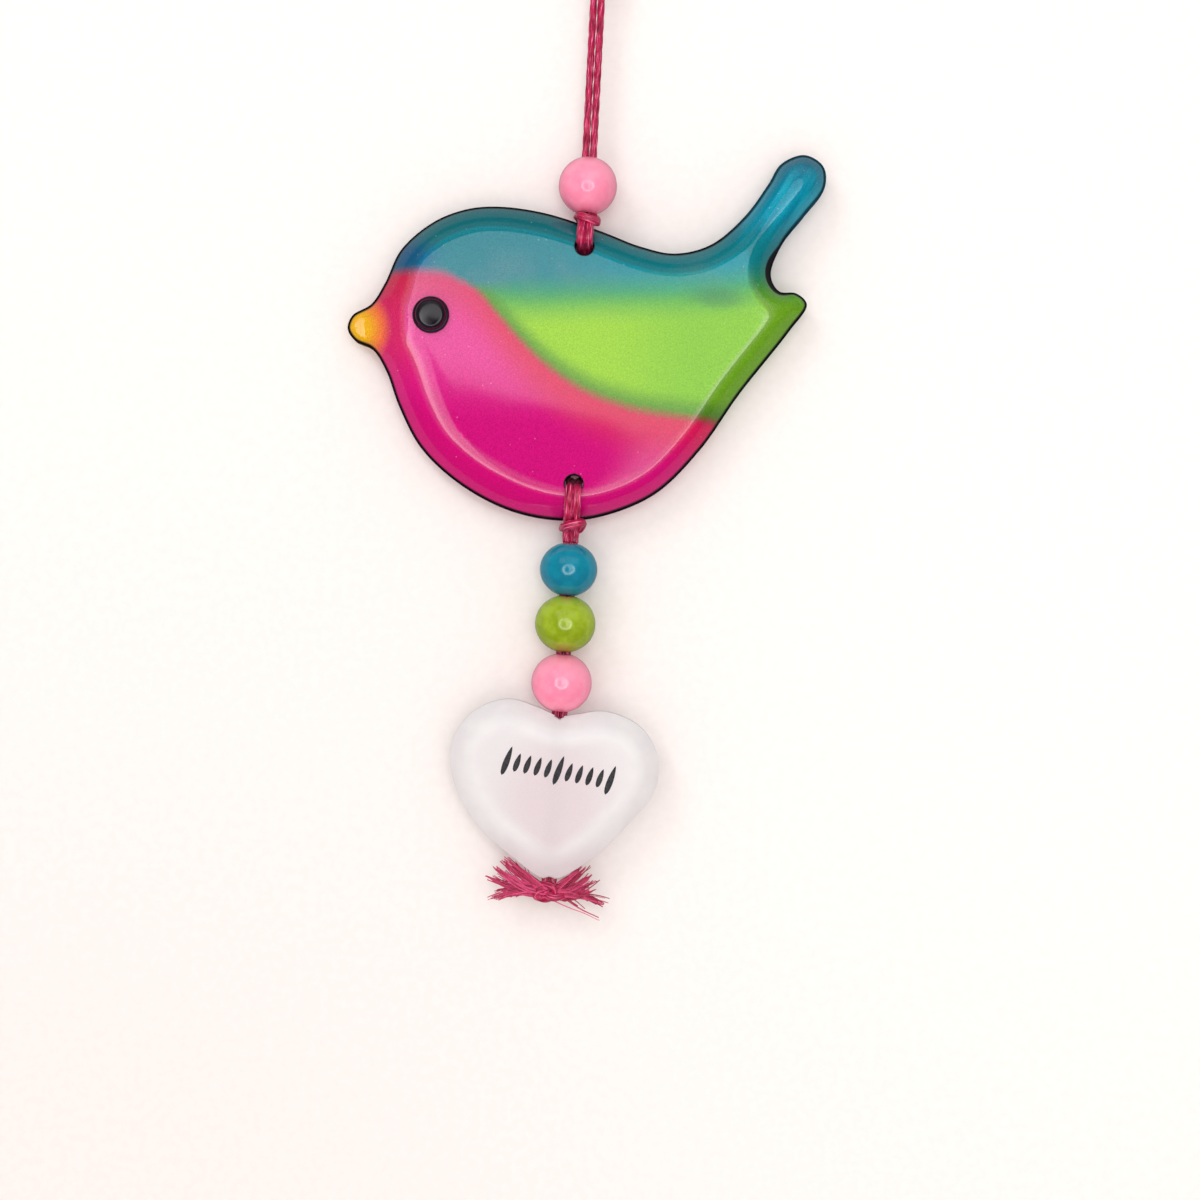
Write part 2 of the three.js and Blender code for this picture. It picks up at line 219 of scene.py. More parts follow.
def linear_step(value, low, high):
    """From 0 at low to 1 at high, and no further."""
    return np.clip((value - low) / (high - low), 0, 1)


def both_halves(half):
    """A route that is the same left and right, from the half between its middle and its right end."""
    left = [(-x, y, z) for x, y, z in half[:0:-1]]
    return left + list(half)


# Meshes

def add_object(name, vertices, faces, matrix, smooth=True):
    mesh = bpy.data.meshes.new(name)
    mesh.from_pydata([tuple(v) for v in vertices], [], [tuple(f) for f in faces])
    mesh.polygons.foreach_set("use_smooth", [smooth] * len(mesh.polygons))
    mesh.update()
    return new_object(name, mesh, matrix)


def finish_piece(piece, material, slot, *nodes):
    """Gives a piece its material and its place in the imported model."""
    piece.data.materials.clear()
    piece.data.materials.append(material)
    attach(piece, "root")
    if nodes:
        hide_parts(*nodes)


def sweep(line, radii, sides, lobes=0, depth=0.0, pitch=1.0):
    """Vertices, faces and texture places of a rope along a line, with lobes that turn round it."""
    steps = np.gradient(line, axis=0)
    tangents = steps / np.linalg.norm(steps, axis=1)[:, None]
    previous = Vector(tangents[0])
    normal = previous.orthogonal().normalized()
    travelled = np.concatenate([[0], np.cumsum(np.linalg.norm(np.diff(line, axis=0), axis=1))])
    angles = np.linspace(0, 2 * math.pi, sides, endpoint=False)
    vertices, places = [], []
    for centre, tangent, radius, along in zip(line, tangents, radii, travelled):
        here = Vector(tangent)
        normal = previous.rotation_difference(here) @ normal
        previous = here
        across = np.array(normal)
        other = np.cross(tangent, across)
        bulge = 1 + depth * np.cos(lobes * (angles - 2 * math.pi * along / pitch))
        vertices.append(centre + (radius * bulge)[:, None] * (
            np.cos(angles)[:, None] * across + np.sin(angles)[:, None] * other))
        places.append(np.column_stack([np.full(sides, along / MM), angles / (2 * math.pi)]))
    count = len(line)
    faces = []
    for ring in range(count - 1):
        for i in range(sides):
            j = (i + 1) % sides
            low, high = ring * sides, (ring + 1) * sides
            faces.append((low + i, low + j, high + j, high + i))
    faces.append(tuple(range(sides - 1, -1, -1)))
    faces.append(tuple((count - 1) * sides + i for i in range(sides)))
    return np.vstack(vertices), faces, np.vstack(places)


def store_values(piece, name, values):
    """Stores a value for each vertex, for a material to read."""
    piece.data.attributes.new(name, "FLOAT", "POINT").data.foreach_set("value", values)


ROPE_SPACING = 0.22 * MM
ROPE_SIDES = 24
ROPE_LOBES = 4
ROPE_LOBE_DEPTH = 0.07
ROPE_PITCH = 11 * MM


def rope(name, lines, radius, matrix):
    """One object of one or more satin ropes, with the place along and round each in its texture map."""
    vertices, faces, places = [], [], []
    for line in lines:
        line = even_spacing(np.array(line), ROPE_SPACING)
        part = sweep(line, np.full(len(line), radius), ROPE_SIDES, ROPE_LOBES, ROPE_LOBE_DEPTH, ROPE_PITCH)
        offset = sum(len(v) for v in vertices)
        vertices.append(part[0])
        faces += [tuple(i + offset for i in face) for face in part[1]]
        places.append(part[2])
    piece = add_object(name, np.vstack(vertices), faces, matrix)
    corners = np.empty(len(piece.data.loops), int)
    piece.data.loops.foreach_get("vertex_index", corners)
    piece.data.uv_layers.new(name="UVMap").data.foreach_set("uv", np.vstack(places)[corners].ravel())
    return piece


# Hanging cord: a taut pair of strands from the top bead to a knot, and an open loop above it

STRAND_START = TOP_BEAD + 3.6 * MM
STRAND_END = LOOP_KNOT - 3 * MM
STRAND_STEPS = 3
LOOP_STEPS = 8
KNOT_STEPS = 90
KNOT_REACH = 0.8


def hanging_route():
    top = LOOP_TOP + CORD_RADIUS
    middle = top - LOOP_RADIUS
    bend = LOOP_RADIUS * math.sqrt(0.5)
    low = np.linspace(STRAND_START, STRAND_END, STRAND_STEPS + 1)
    half = [
        (0, 0, top),
        (bend, 0, middle + bend),
        (LOOP_RADIUS, 0, middle),
        (0.85 * LOOP_RADIUS, 0, middle - 4.5 * MM),
        (0.4 * LOOP_RADIUS, 0, LOOP_KNOT + 3 * MM),
        (STRAND_OFFSET, 0, LOOP_KNOT),
        *[(STRAND_OFFSET, 0, z) for z in reversed(low)],
    ]
    return both_halves(half)


def knot_line(middle, half):
    """A trefoil that fills a box: the crossing strands of a tight overhand knot."""
    width, depth, height = half
    angles = np.linspace(0, 2 * math.pi, KNOT_STEPS)
    reach = (2 + np.cos(3 * angles)) / 3
    return np.column_stack([
        width * reach * np.cos(2 * angles) / KNOT_REACH,
        depth * np.sin(3 * angles),
        middle + height * reach * np.sin(2 * angles) / KNOT_REACH,
    ])


hanging_line = smooth_curve(hanging_route(), LOOP_STEPS)
hanging_loop = rope("hanging_loop", [hanging_line], CORD_RADIUS, HANGING_FRAME)
loop_knot = rope("loop_knot", [knot_line(LOOP_KNOT, LOOP_KNOT_HALF)], LOOP_KNOT_RADIUS, HANGING_FRAME)


# Lark's head hitches of the two cords, each round the rim next to its hole

HITCH_STEPS = 10
BAR_TILT = -0.3
BAR_SHIFT = 0.4
LOWER_STANDING = LOWER_HOLE_TO_RIM + 3.6 * MM


def hitch_half(rim, standing):
    """A bar in front of the standing strands, over the rim, down the back and out through the hole.

    In millimetres, as is hitch_line up to its end.
    """
    right = STRAND_OFFSET / MM
    bar = rim + 0.55
    front = -(BIRD_HALF + CORD_RADIUS) / MM
    back = (BIRD_HALF + 1.3 * CORD_RADIUS) / MM
    leaving = max(1.5, rim - 3.6)
    rise = rim + 3 - leaving
    over_rim = [
        (0, -2.7, bar), (1.5 * right, -2.5, bar), (2.15 * right, -1.6, bar + 0.1),
        (2.2 * right, -0.4, rim + 1.15), (1.7 * right, 1.6, rim + 1.15),
    ]
    down_and_out = [
        (back - 0.6, rim + 0.7), (back + 0.05, rim - 0.8), (back + 0.05, 1.5), (back, 0.4),
        (back - 0.6, -0.5), (back - 1.9, -0.7), (0, -0.1), (front + 1.9, 0.65), (front + 0.25, 0.95),
        (front - 0.05, leaving), (front * 0.79, leaving + 0.25 * rise), (front * 0.44, leaving + 0.5 * rise),
        (front * 0.12, leaving + 0.75 * rise), (0, leaving + rise), (0, standing),
    ]
    return over_rim + [(right, y, z) for y, z in down_and_out]


def hitch_line(rim, side, standing, hole_height):
    """A whole hitch with its bar tilted and shifted, and the rim above (side 1) or below (-1) the hole."""
    rim = rim / MM
    line = smooth_curve(both_halves(hitch_half(rim, standing / MM)), HITCH_STEPS)
    x, y, z = line.T
    outside = linear_step(np.abs(x) * MM / STRAND_OFFSET, 1, 1.4)
    in_bar = linear_step(z, rim - 0.3, rim + 0.3) * linear_step(y, -0.2, -1.4)
    in_bar = in_bar * np.maximum(outside, linear_step(y, -1.9, -2.3))
    z += BAR_TILT * x * in_bar
    x += BAR_SHIFT * in_bar
    return line * np.array([1, 1, side]) * MM + np.array([0, 0, hole_height])


upper_hitch = rope("upper_hitch", [
    hitch_line(UPPER_HOLE_TO_RIM, 1, TOP_BEAD - UPPER_HOLE[1], UPPER_HOLE[1]),
], HITCH_RADIUS, HANGING_FRAME)

lower_hitch = rope("lower_hitch", [
    hitch_line(LOWER_HOLE_TO_RIM, -1, LOWER_STANDING, 0),
], HITCH_RADIUS, DROP_FRAME)

drop_strands = rope("drop_strands", [
    [(side * STRAND_OFFSET, 0, -LOWER_STANDING), (side * STRAND_OFFSET, 0, END_KNOT)] for side in (-1, 1)
], DROP_RADIUS, DROP_FRAME)

end_knot = rope("end_knot", [knot_line(END_KNOT, END_KNOT_HALF)], END_KNOT_RADIUS, DROP_FRAME)


# Frayed ends: clumps of fine fibres out of the end knot, each clump to its own tip

FRAY_SEED = 7
FIBRES_PER_CLUMP = 22
FIBRES_PER_STRAY = 2
FIBRE_RADIUS = 0.125 * MM
FIBRE_SIDES = 5
FIBRE_STEPS = 11
FIBRE_WAVE = 0.11
CLUMP_TIPS = [
    (-7.6, -1.0, 5.4), (-8.4, 0.5, 4.9), (-9.4, -0.4, 3.4), (-9.0, 0.9, 3.0), (-10.8, 0.2, 2.0),
    (-9.6, -0.8, -1.6), (-8.6, 0.4, -0.5),
    (5.4, -0.9, 4.8), (6.4, 0.6, 4.4), (7.2, -0.3, 3.2), (7.9, 0.7, 2.2), (7.4, -0.8, 0.8),
    (9.9, 0.2, -1.5),
]
STRAY_TIPS = [(9.2, -0.6, -4.1), (8.4, 0.3, -3.6), (-11.4, 0.5, 1.2), (-6.2, -0.4, 6.4), (10.6, -0.2, -0.9)]


def frayed_ends():
    draw = random.Random(FRAY_SEED)
    vertices, faces, tones = [], [], []
    total = 0
    for number, (tip_x, tip_y, tip_z) in enumerate(CLUMP_TIPS + STRAY_TIPS):
        side = math.copysign(1, tip_x)
        stray = number >= len(CLUMP_TIPS)
        clump_tone = draw.uniform(0.2, 0.8)
        clump_bow = np.array([0, draw.gauss(0, 0.3), draw.gauss(-0.5 if tip_z > 0 else 0.3, 0.35)])
        for _ in range(FIBRES_PER_STRAY if stray else FIBRES_PER_CLUMP):
            out = side * draw.uniform(-0.4, 1.9)
            start = np.array([out, draw.uniform(-1.1, 1.1), draw.uniform(-0.9, 0.9)])
            reach = draw.triangular(0.55, 1.06, 0.98)
            spread = np.array([draw.gauss(0, 0.3), draw.gauss(0, 0.25), draw.gauss(0, 0.24)])
            tip = np.array([tip_x, tip_y, tip_z]) * reach + spread
            bow = clump_bow + [0, draw.gauss(0, 0.15), draw.gauss(0, 0.2)]
            share = np.linspace(0, 1, FIBRE_STEPS)[:, None]
            wave = FIBRE_WAVE * np.sin(share * draw.uniform(4, 9) + draw.uniform(0, 6))
            line = start + (tip - start) * share + bow * 4 * share * (1 - share)
            line = line + wave * np.array([0.2, 0.6, 1.0]) * share
            radii = FIBRE_RADIUS * draw.uniform(0.7, 1.3) * np.linspace(1.3, 0.6, FIBRE_STEPS)
            part, sides, _ = sweep(line * MM + np.array([0, 0, END_KNOT]), radii, FIBRE_SIDES)
            vertices.append(part)
            faces += [tuple(i + total for i in face) for face in sides]
            total += len(part)
            tones += [min(1, max(0, clump_tone + draw.gauss(0, 0.28)))] * len(part)
    piece = add_object("frayed_ends", np.vstack(vertices), faces, DROP_FRAME)
    store_values(piece, "tone", tones)
    return piece


tassel = frayed_ends()


# Cast glass: bodies with a flat face, a rounded shoulder and a rim, worked out from an outline

FIELD_STEP = 0.3
FIELD_MARGIN = 3.0
RIDGE_ROUNDING_PASSES = 26
OUTLINE_STEPS = 12
FACE_SPACING = 1.0
SHOULDER_POWER = 1.5
BIRD_FACE_ROUNDING = 0.45
TAIL_EXTRA_ROUNDING = 0.5
HEART_FACE_ROUNDING = 0.26
# As shares of the shoulder: its rings of points, the start of the face, the part with unrounded distance
SHOULDER_INSETS = [
    0.03, 0.08, 0.15, 0.23, 0.33, 0.44, 0.56, 0.68, 0.79, 0.87, 0.93, 1.0, 1.07, 1.15, 1.24, 1.35, 1.5,
]
FACE_START = 1.6
PLAIN_SHARE = 0.3
RING_CLEAR = 0.97
WELD = 1e-5
HOLE_SIDES = 44
HOLE_RINGS = [1.1, 1.28]
HOLE_CLEAR = 0.15
HOLE_INSIDE = 0.99


def signed_distance(points, loop):
    """Distance of each point to a closed loop, positive inside it."""
    best = np.full(len(points), np.inf)
    inside = np.zeros(len(points), bool)
    for a, b in zip(loop, np.roll(loop, -1, axis=0)):
        edge = b - a
        along = np.clip((points - a) @ edge / (edge @ edge), 0, 1)
        gap = points - a - along[:, None] * edge
        best = np.minimum(best, (gap ** 2).sum(axis=1))
        if a[1] != b[1]:
            crossing = (a[1] > points[:, 1]) != (b[1] > points[:, 1])
            inside ^= crossing & (points[:, 0] < a[0] + (points[:, 1] - a[1]) * edge[0] / edge[1])
    return np.where(inside, 1, -1) * np.sqrt(best)


class DistanceField:
    """Distance to an outline, with its ridges rounded, that can be read anywhere inside."""

    def __init__(self, outline):
        low = outline.min(axis=0) - FIELD_MARGIN
        high = outline.max(axis=0) + FIELD_MARGIN
        self.low = low
        xs = np.arange(low[0], high[0], FIELD_STEP)
        zs = np.arange(low[1], high[1], FIELD_STEP)
        grid = np.array(np.meshgrid(xs, zs, indexing="ij"))
        field = signed_distance(grid.reshape(2, -1).T, outline).reshape(len(xs), len(zs))
        # Half of each pass runs along one axis and turns the field for the other
        for _ in range(2 * RIDGE_ROUNDING_PASSES):
            padded = np.pad(field, ((1, 1), (0, 0)), "edge")
            field = ((padded[:-2] + 2 * field + padded[2:]) / 4).T
        self.field = field

    def read(self, points):
        place = (points - self.low) / FIELD_STEP
        cell = np.clip(place.astype(int), 0, np.array(self.field.shape) - 2)
        u, v = (place - cell).T
        i, j = cell.T
        f = self.field
        return ((1 - u) * (1 - v) * f[i, j] + u * (1 - v) * f[i + 1, j]
                + (1 - u) * v * f[i, j + 1] + u * v * f[i + 1, j + 1])


def circle(middle, radius):
    angles = np.linspace(0, 2 * math.pi, HOLE_SIDES, endpoint=False)
    return np.column_stack([middle[0] + radius * np.cos(angles), middle[1] + radius * np.sin(angles)])


def cast_glass(name, landmarks, holes, shoulder, front, back, matrix):
    """A closed body of glass. front and back give heights and how far up the shoulder each point is.

    All in millimetres but the mesh itself. It keeps the distance to the rim and the way up the shoulder.
    """
    outline = smooth_curve(landmarks, OUTLINE_STEPS, closed=True)
    area = np.sum(outline[:, 0] * np.roll(outline[:, 1], -1) - np.roll(outline[:, 0], -1) * outline[:, 1])
    if area < 0:
        outline = outline[::-1]
    along = np.roll(outline, -1, axis=0) - np.roll(outline, 1, axis=0)
    inward = np.column_stack([-along[:, 1], along[:, 0]]) / np.linalg.norm(along, axis=1)[:, None]
    field = DistanceField(outline)
    loose = []
    for share in SHOULDER_INSETS:
        ring = outline + inward * share * shoulder
        loose.append(ring[signed_distance(ring, outline) > RING_CLEAR * share * shoulder])
    low, high = outline.min(axis=0), outline.max(axis=0)
    grid = np.array(np.meshgrid(
        np.arange(low[0], high[0], FACE_SPACING), np.arange(low[1], high[1], FACE_SPACING))).reshape(2, -1).T
    loose.append(grid[signed_distance(grid, outline) > FACE_START * shoulder])
    loose = np.vstack(loose)
    loops = [outline]
    for middle, radius in holes:
        clear = np.linalg.norm(loose - np.array(middle), axis=1)
        loose = loose[clear > HOLE_RINGS[-1] * radius + HOLE_CLEAR]
        loose = np.vstack([loose] + [circle(middle, scale * radius) for scale in HOLE_RINGS])
        loops.append(circle(middle, radius))
    flat, edges = np.vstack(loops + [loose]), []
    start = 0
    for loop in loops:
        count = len(loop)
        edges += [(start + i, start + (i + 1) % count) for i in range(count)]
        start += count
    made = delaunay_2d_cdt([Vector(p) for p in flat], edges, [], 0, WELD)
    flat = np.array([tuple(v) for v in made[0]])
    triangles = np.array(made[2])
    middles = flat[triangles].mean(axis=1)
    keep = signed_distance(middles, outline) > 0
    for middle, radius in holes:
        keep &= np.linalg.norm(middles - np.array(middle), axis=1) > radius * HOLE_INSIDE
    triangles = triangles[keep]
    true_distance = signed_distance(flat, outline)
    distance = np.where(true_distance < PLAIN_SHARE * shoulder, true_distance, field.read(flat))
    distance = np.maximum(distance, 0)
    count = len(flat)
    heights, slopes = np.hstack([front(distance, flat), back(distance, flat)])
    faces = [tuple(t) for t in triangles] + [tuple(t[::-1] + count) for t in triangles]
    used = dict.fromkeys(edge for a, b, c in triangles for edge in ((a, b), (b, c), (c, a)))
    rim_edges = [(a, b) for a, b in used if (b, a) not in used]
    faces += [(b, a, a + count, b + count) for a, b in rim_edges]
    vertices = np.insert(np.tile(flat, (2, 1)), 1, heights, axis=1) * MM
    needed = np.unique(np.concatenate([np.ravel(f) for f in faces]))
    renumber = np.full(len(vertices), -1)
    renumber[needed] = np.arange(len(needed))
    piece = add_object(name, vertices[needed], [tuple(renumber[list(f)]) for f in faces], matrix)
    store_values(piece, "rim", np.tile(distance, 2)[needed])
    store_values(piece, "slope", slopes[needed])
    return piece


def shoulder_rise(distance, shoulder, rounding):
    """From 0 at the rim to 1 on the face, with the line between shoulder and face rounded."""
    left = 1 - distance / shoulder
    return 1 - np.clip((left + np.sqrt(left ** 2 + rounding ** 2)) / 2, 0, 1) ** SHOULDER_POWER


def soft_step(value, low, high):
    share = linear_step(value, low, high)
    return share ** 2 * (3 - 2 * share)


def ripple(points, height, length):
    """The slight unevenness of a cast face."""
    return height * np.array([noise.noise(Vector((x / length, z / length, 0.5))) for x, z in points])


FACE_RIPPLE = 0.012
FACE_RIPPLE_LENGTH = 7.0

# Where the breast and the tail begin and where they are full, in millimetres
BREAST_ACROSS = (6, -14)
BREAST_UP = (38, 26)
TAIL_LEFT = 15
TAIL_UP = (40, 51)

# How the face falls away towards the beak: distance inside the body's own outline, way up the shoulder
BEAK_FALL = [(-8, 0.2), (-2, 1.0), (1.2, 1.9), (3.4, 4.0), (7, 9.0)]


def make_bird():
    half, rim, shoulder, round_ = (v / MM for v in (BIRD_HALF, BIRD_RIM, BIRD_SHOULDER, BIRD_BACK_ROUND))
    body = DistanceField(smooth_curve(BODY_OUTLINE, OUTLINE_STEPS, closed=True))

    def front(distance, points):
        x, z = points.T
        in_breast = soft_step(x, *BREAST_ACROSS) * soft_step(z, *BREAST_UP)
        in_tail = soft_step(z, *TAIL_UP) * (x > TAIL_LEFT)
        width = BACK_SHOULDER + (BREAST_SHOULDER - BACK_SHOULDER) * in_breast
        width = (width + (TAIL_SHOULDER - width) * in_tail) / BIRD_SHOULDER
        up = np.minimum(distance, np.interp(body.read(points), *zip(*BEAK_FALL))) / width
        rise = shoulder_rise(up, shoulder, BIRD_FACE_ROUNDING + TAIL_EXTRA_ROUNDING * in_tail)
        face = half - rim - (2 * half - rim) * rise
        return face + rise * ripple(points, FACE_RIPPLE, FACE_RIPPLE_LENGTH), up

    def back(distance, points):
        inset = 1 - np.clip(distance / round_, 0, 1)
        return half - round_ * (1 - np.sqrt(np.maximum(0, 1 - inset ** 2))), distance + shoulder

    holes = [((x / MM, z / MM), HOLE_RADIUS / MM) for x, z in (UPPER_HOLE, LOWER_HOLE)]
    return cast_glass("bird_body", BIRD_OUTLINE, holes, shoulder, front, back, BIRD_FRAME)


DRILL_HALF = 20 * MM
DRILL_SIDES = 40


def make_heart():
    half, rim, shoulder = (v / MM for v in (HEART_HALF, HEART_RIM_HALF, HEART_SHOULDER))

    def back(distance, points):
        return rim + (half - rim) * shoulder_rise(distance, shoulder, HEART_FACE_ROUNDING), distance

    def front(distance, points):
        return -back(distance, points)[0], distance

    body = cast_glass("heart_body", HEART_OUTLINE, [], shoulder, front, back, DROP_FRAME)
    drill = add_object("drill", *turned_profile(
        [(0, -DRILL_HALF), (BORE_RADIUS, -DRILL_HALF), (BORE_RADIUS, DRILL_HALF), (0, DRILL_HALF)],
        DRILL_SIDES), DROP_FRAME)
    drill.data.transform(Matrix.Translation((0, 0, HEART_MIDDLE)))
    cut = body.modifiers.new("bore", "BOOLEAN")
    cut.object = drill
    cut.solver = "EXACT"
    bpy.context.view_layer.update()
    evaluated = body.evaluated_get(bpy.context.evaluated_depsgraph_get())
    bored = bpy.data.meshes.new_from_object(evaluated)
    body.modifiers.clear()
    body.data = bored
    bpy.data.objects.remove(drill)
    return body


# Printed strokes on the heart: one row of plain brush strokes

STROKE_LIFT = 0.012 * MM
STROKE_COUNT = 11
STROKE_STEPS = 14
LONG_STROKE_EVERY = 5
ROW_START = (-8.3, -47.2)
ROW_END = (9.3, -49.4)
STROKE_LEAN = math.radians(80)
LONG_STROKE = (5.2, 1.05)
SHORT_STROKE = (3.3, 0.95)


def brush_stroke(middle, angle, length, width):
    """Outline of a stroke that swells and thins out to both ends."""
    share = np.linspace(0, 1, STROKE_STEPS)
    half = width / 2 * np.sin(np.pi * share ** 0.75) ** 0.7
    along = (np.concatenate([share, share[-2:0:-1]]) - 0.5) * length
    across = np.concatenate([half, -half[-2:0:-1]])
    cosine, sine = math.cos(angle), math.sin(angle)
    return middle + np.column_stack([along * cosine - across * sine, along * sine + across * cosine])


def make_strokes():
    start, end = np.array(ROW_START), np.array(ROW_END)
    lean = math.atan2(*(end - start)[::-1]) + STROKE_LEAN
    vertices, faces = [], []
    for i in range(STROKE_COUNT):
        length, width = SHORT_STROKE if i % LONG_STROKE_EVERY else LONG_STROKE
        outline = brush_stroke(start + (end - start) * i / (STROKE_COUNT - 1), lean, length, width)
        first = len(vertices)
        vertices += [(x * MM, -HEART_HALF - STROKE_LIFT, z * MM) for x, z in outline]
        faces.append(tuple(range(first + len(outline) - 1, first - 1, -1)))
    return add_object("heart_strokes", vertices, faces, DROP_FRAME, False)


# Turned pieces: beads and the eye

def turned_profile(profile, sides):
    """Vertices and faces of a profile of (radius, height) turned round the upright axis."""
    vertices, rings = [], []
    for radius, height in profile:
        if radius < 1e-9:
            rings.append([len(vertices)] * sides)
            vertices.append((0, 0, height))
            continue
        rings.append(list(range(len(vertices), len(vertices) + sides)))
        for i in range(sides):
            angle = 2 * math.pi * i / sides
            vertices.append((radius * math.cos(angle), radius * math.sin(angle), height))
    faces = []
    for low, high in zip(rings, rings[1:]):
        for i in range(sides):
            j = (i + 1) % sides
            face = list(dict.fromkeys((low[i], low[j], high[j], high[i])))
            if len(face) > 2:
                faces.append(tuple(face))
    return vertices, faces


BEAD_SIDES = 72
BEAD_STEPS = 48
BEAD_LIP = 0.12 * MM
BEAD_UNEVENNESS = 0.004
BEAD_UNEVEN_LENGTH = 2.6 * MM


def make_bead(name, size, height, matrix):
    """A bead with a slightly uneven outside and a rounded lip at each end of its bore."""
    radius, half = size[0] / 2, size[1] / 2
    cut = math.acos((BORE_RADIUS + BEAD_LIP) / radius)
    profile = []
    for i in range(BEAD_STEPS + 1):
        angle = -cut + 2 * cut * i / BEAD_STEPS
        profile.append((radius * math.cos(angle), half * math.sin(angle)))
    end = profile[-1][1]
    lip = [(BORE_RADIUS + BEAD_LIP * (1 - math.sin(a)), end - BEAD_LIP * (1 - math.cos(a)) * 1.6)
           for a in (0.4, 0.8, 1.2, math.pi / 2)]
    profile += lip + [(BORE_RADIUS, 0)] + [(r, -z) for r, z in reversed(lip)] + [profile[0]]
    vertices, faces = turned_profile(profile, BEAD_SIDES)
    seed = Vector((height / MM, 0, 0))
    uneven = [v * (1 + BEAD_UNEVENNESS * noise.noise(v / BEAD_UNEVEN_LENGTH + seed))
              for v in map(Vector, vertices)]
    return add_object(name, uneven, faces, matrix @ Matrix.Translation((0, 0, height)))


EYE_SIDES = 64
EYE_FLANGE_STEPS = 12
EYE_DOME_STEPS = 40
EYE_FLATNESS = 0.87


def make_eye():
    """A round flange that falls away to its edge, and a dome on it that is nearly flat on top."""
    flange, dome = EYE_FLANGE_RADIUS, EYE_DOME_RADIUS
    profile = [(0, -EYE_SINK), (flange, -EYE_SINK)]
    for i in range(EYE_FLANGE_STEPS + 1):
        angle = math.pi / 2 * i / EYE_FLANGE_STEPS
        profile.append((
            dome + (flange - dome) * math.cos(angle), EYE_FLANGE_HEIGHT * (0.3 + 0.7 * math.sin(angle))))
    for i in range(1, EYE_DOME_STEPS + 1):
        share = math.cos(math.pi / 2 * i / EYE_DOME_STEPS) if i < EYE_DOME_STEPS else 0
        rise = EYE_FLATNESS * (1 - share ** 12) + (1 - EYE_FLATNESS) * (1 - share ** 2)
        profile.append((share * dome, EYE_FLANGE_HEIGHT + (EYE_HEIGHT - EYE_FLANGE_HEIGHT) * rise))
    vertices, faces = turned_profile(profile, EYE_SIDES)
    turn = BIRD_FRAME @ Matrix.Translation(EYE_PLACE) @ Matrix.Rotation(math.pi / 2, 4, "X")
    return add_object("bird_eye", vertices, faces, turn)


# Materials

